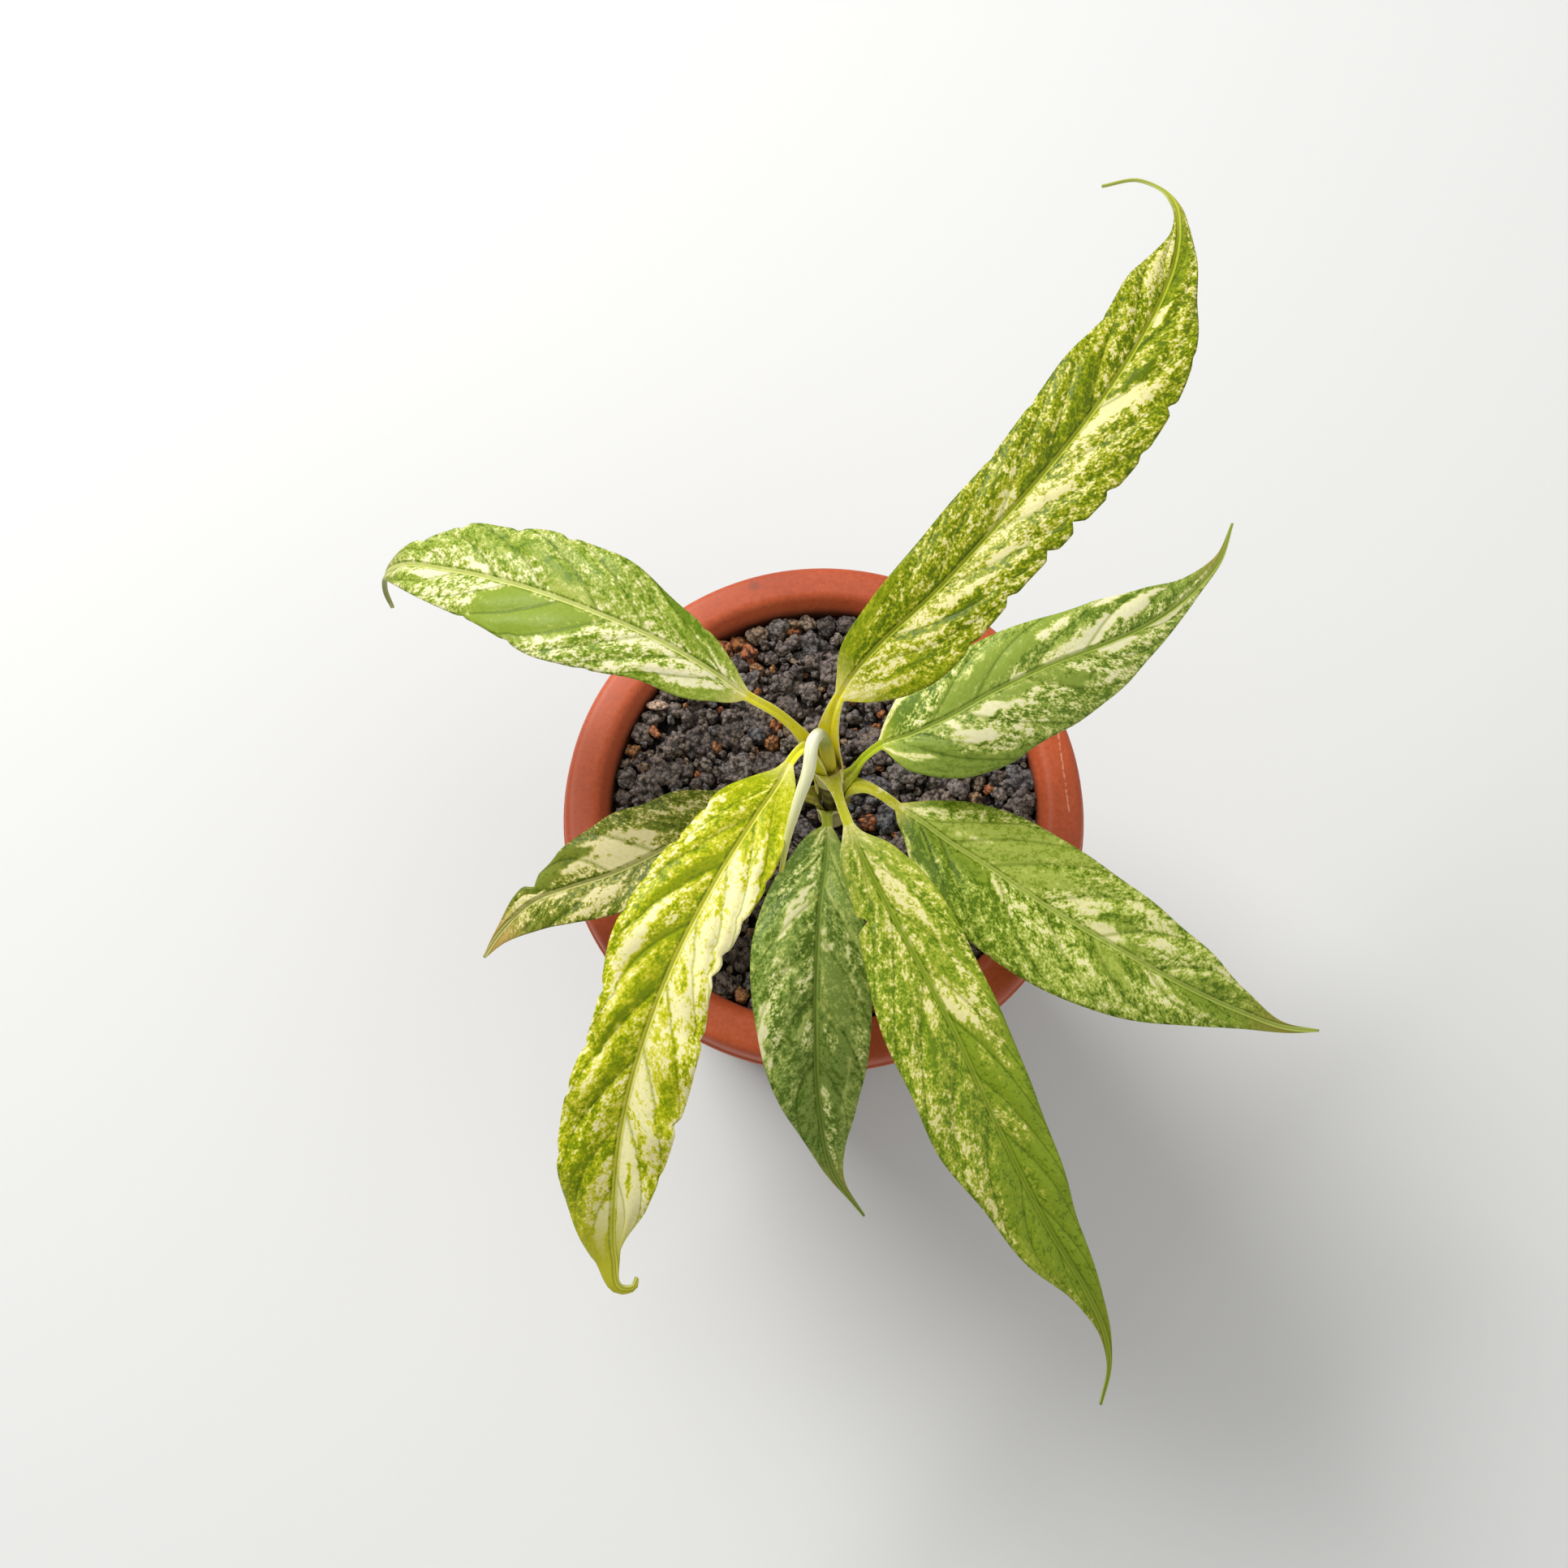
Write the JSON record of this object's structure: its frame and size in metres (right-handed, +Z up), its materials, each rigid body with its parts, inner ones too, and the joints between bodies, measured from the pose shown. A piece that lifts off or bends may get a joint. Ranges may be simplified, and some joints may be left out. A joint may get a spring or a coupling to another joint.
{
  "type": "potted aglaonema",
  "caption": "Variegated aglaonema with long lance-shaped leaves on a short cane, standing in a round tapered terracotta-coloured pot of volcanic gravel.",
  "frame": {"origin": "centre of the pot's flat underside", "axes": "+Z up; -Y towards the plant's front, the side of the short dark leaf; +X to the plant's right"},
  "size_m": [0.2292, 0.2916, 0.1988],
  "materials": {
    "terracotta_plastic": "satin moulded plastic with a fine mottled grain",
    "volcanic_gravel": "rough vesicular volcanic stone, loosely packed",
    "stem_olive": "satin, ringed with leaf scars",
    "leaf_lime": "soft gloss, lime green with cream variegation",
    "leaf_mid_green": "soft gloss, green with yellowish and cream flecks",
    "leaf_dark_green": "soft gloss, dark green with cream patches",
    "leaf_pale": "soft gloss, pale whitish green"
  },
  "bodies": {
    "root": {"pot": "terracotta_plastic", "gravel": "volcanic_gravel", "stem": "stem_olive", "leaf_back": "leaf_lime", "leaf_right_back": "leaf_dark_green", "leaf_right_front": "leaf_mid_green", "leaf_front_right": "leaf_mid_green", "leaf_front": "leaf_dark_green", "leaf_front_left": "leaf_lime", "leaf_left": "leaf_mid_green", "leaf_left_back": "leaf_mid_green", "rolled_leaf": "leaf_pale"}
  },
  "joints": []
}
